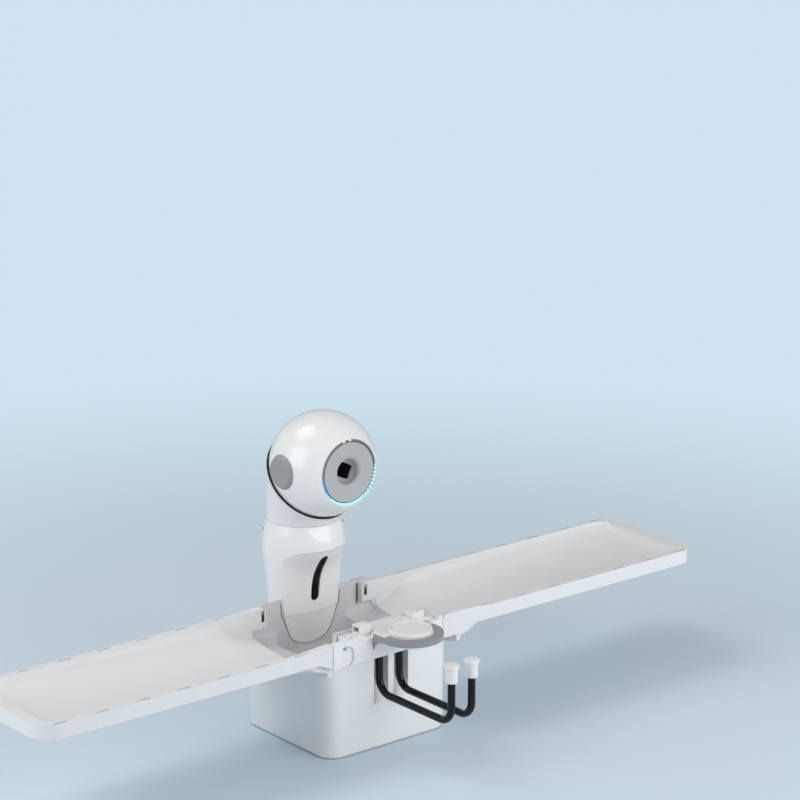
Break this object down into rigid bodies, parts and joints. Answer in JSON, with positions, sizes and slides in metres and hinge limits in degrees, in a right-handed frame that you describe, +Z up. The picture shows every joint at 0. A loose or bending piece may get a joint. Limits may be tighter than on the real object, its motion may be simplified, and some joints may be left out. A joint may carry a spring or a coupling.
{
  "type": "table tennis robot",
  "caption": "Ball-launching robot for table tennis: clamp-on base with folding catch trays, a ball-lifting column, a panning neck and a round tilting head.",
  "frame": {"origin": "centre of the base housing's plan, on the underside of its bottom cover, 2 mm above the surface the feet stand on", "axes": "+Z up, -Y towards the player, the way the nozzle fires, +X along the right catch tray as the player's side sees it, on the right of a front view"},
  "size_m": [1.525, 0.5508, 0.596],
  "materials": {
    "gloss_white": "gloss",
    "satin_white": "satin",
    "pale_grey": "satin",
    "mid_grey": "satin",
    "black_gloss": "gloss",
    "black_matt": "matt",
    "dark_grey": "matt",
    "foot_rubber": "matt",
    "grey_rubber": "matt",
    "steel": "brushed",
    "brass": "satin",
    "lit_ring": "lit translucent",
    "board_green": "satin"
  },
  "bodies": {
    "base": {"base_housing": "gloss_white", "bottom_cover": "satin_white", "foot_front_left": "foot_rubber", "foot_front_right": "foot_rubber", "foot_rear_left": "foot_rubber", "foot_rear_right": "foot_rubber", "front_rail": "gloss_white", "nose_lid": "gloss_white", "jaw_pad": "grey_rubber", "bumper_band": "grey_rubber", "centre_tray": "pale_grey", "hopper_bowl": "pale_grey", "feeder_motor": "steel", "feed_tube": "satin_white", "column_shell": "gloss_white", "rear_plug": "mid_grey", "front_plug": "mid_grey", "pan_bearing": "steel", "pan_motor": "steel", "left_front_hinge_pin": "steel", "left_rear_hinge_pin": "steel", "right_front_hinge_pin": "steel", "right_rear_hinge_pin": "steel", "dc_inlet": "black_matt", "switch_bezel": "black_matt", "control_board": "board_green"},
    "neck": {"neck_shell": "gloss_white", "neck_seal": "black_matt", "neck_tube": "satin_white", "left_tilt_arm": "steel", "right_tilt_arm": "steel"},
    "head": {"head_shell": "gloss_white", "led_ring": "lit_ring", "ring_trim": "black_matt", "nozzle_dish": "pale_grey", "side_cap_left": "mid_grey", "side_cap_right": "mid_grey"},
    "launcher": {"launcher_frame": "dark_grey", "upper_wheel_motor": "steel", "lower_wheel_motor": "steel"},
    "upper_wheel": {"upper_wheel_hub": "mid_grey", "upper_wheel_tyre": "grey_rubber"},
    "lower_wheel": {"lower_wheel_hub": "mid_grey", "lower_wheel_tyre": "grey_rubber"},
    "left_wing": {"left_wing": "satin_white"},
    "right_wing": {"right_wing": "satin_white"},
    "knob": {"knob_cap": "gloss_white", "knob_face": "pale_grey", "knob_gear": "satin_white"},
    "screw": {"clamp_screw": "steel", "screw_gear": "satin_white"},
    "hooks": {"hook_rod_left": "black_gloss", "hook_rod_right": "black_gloss", "hook_cap_left": "satin_white", "hook_cap_right": "satin_white", "hook_crossbar": "brass"},
    "latch_left": {"latch_left": "satin_white"},
    "latch_right": {"latch_right": "satin_white"},
    "feeder": {"feeder_disc": "mid_grey"},
    "rocker": {"power_switch": "black_gloss"}
  },
  "joints": [
    {"name": "head_pan", "type": "hinge", "parent": "base", "child": "neck", "pos_m": [0, 0.125, 0.378], "axis": [0, 0, 1], "range_deg": [-30, 30]},
    {"name": "head_tilt", "type": "hinge", "parent": "neck", "child": "head", "pos_m": [0, 0.064, 0.496], "axis": [-1, 0, 0], "range_deg": [-12, 20]},
    {"name": "launcher_roll", "type": "hinge", "parent": "head", "child": "launcher", "pos_m": [0, 0.064, 0.496], "axis": [0, 1, 0], "range_deg": [-115, 65]},
    {"name": "upper_wheel_spin", "type": "hinge", "parent": "launcher", "child": "upper_wheel", "pos_m": [0.01838, 0.049, 0.53542], "axis": [0.9063, 0, -0.4226], "continuous": true},
    {"name": "lower_wheel_spin", "type": "hinge", "parent": "launcher", "child": "lower_wheel", "pos_m": [-0.01838, 0.049, 0.45658], "axis": [0.9063, 0, -0.4226], "continuous": true},
    {"name": "left_wing_fold", "type": "hinge", "parent": "base", "child": "left_wing", "pos_m": [-0.122, 0, 0.222], "axis": [0, 1, 0], "range_deg": [0, 80]},
    {"name": "right_wing_fold", "type": "hinge", "parent": "base", "child": "right_wing", "pos_m": [0.122, 0, 0.222], "axis": [0, -1, 0], "range_deg": [0, 80]},
    {"name": "knob_turn", "type": "hinge", "parent": "base", "child": "knob", "pos_m": [0, -0.191, 0.24], "axis": [0, 0, 1], "range_deg": [0, 1440]},
    {"name": "screw_turn", "type": "hinge", "parent": "base", "child": "screw", "pos_m": [0, -0.13, 0.21], "axis": [0, 0, 1], "range_deg": [-1440, 0]},
    {"name": "hooks_lift", "type": "slide", "parent": "base", "child": "hooks", "axis": [0, 0, 1], "range_m": [-0.02, 0]},
    {"name": "latch_left_slide", "type": "slide", "parent": "base", "child": "latch_left", "axis": [-1, 0, 0], "range_m": [0, 0.008]},
    {"name": "latch_right_slide", "type": "slide", "parent": "base", "child": "latch_right", "axis": [1, 0, 0], "range_m": [0, 0.008]},
    {"name": "feeder_turn", "type": "hinge", "parent": "base", "child": "feeder", "pos_m": [0, -0.015, 0.06], "axis": [0, 0, 1], "continuous": true},
    {"name": "switch_rock", "type": "hinge", "parent": "base", "child": "rocker", "pos_m": [-0.09, 0.1295, 0.04], "axis": [1, 0, 0], "range_deg": [-6, 6]}
  ],
  "couplings": [
    {"joint": "knob_turn", "follows": "hooks_lift", "rad_per_m": -1256.6},
    {"joint": "screw_turn", "follows": "hooks_lift", "rad_per_m": 1256.6}
  ]
}
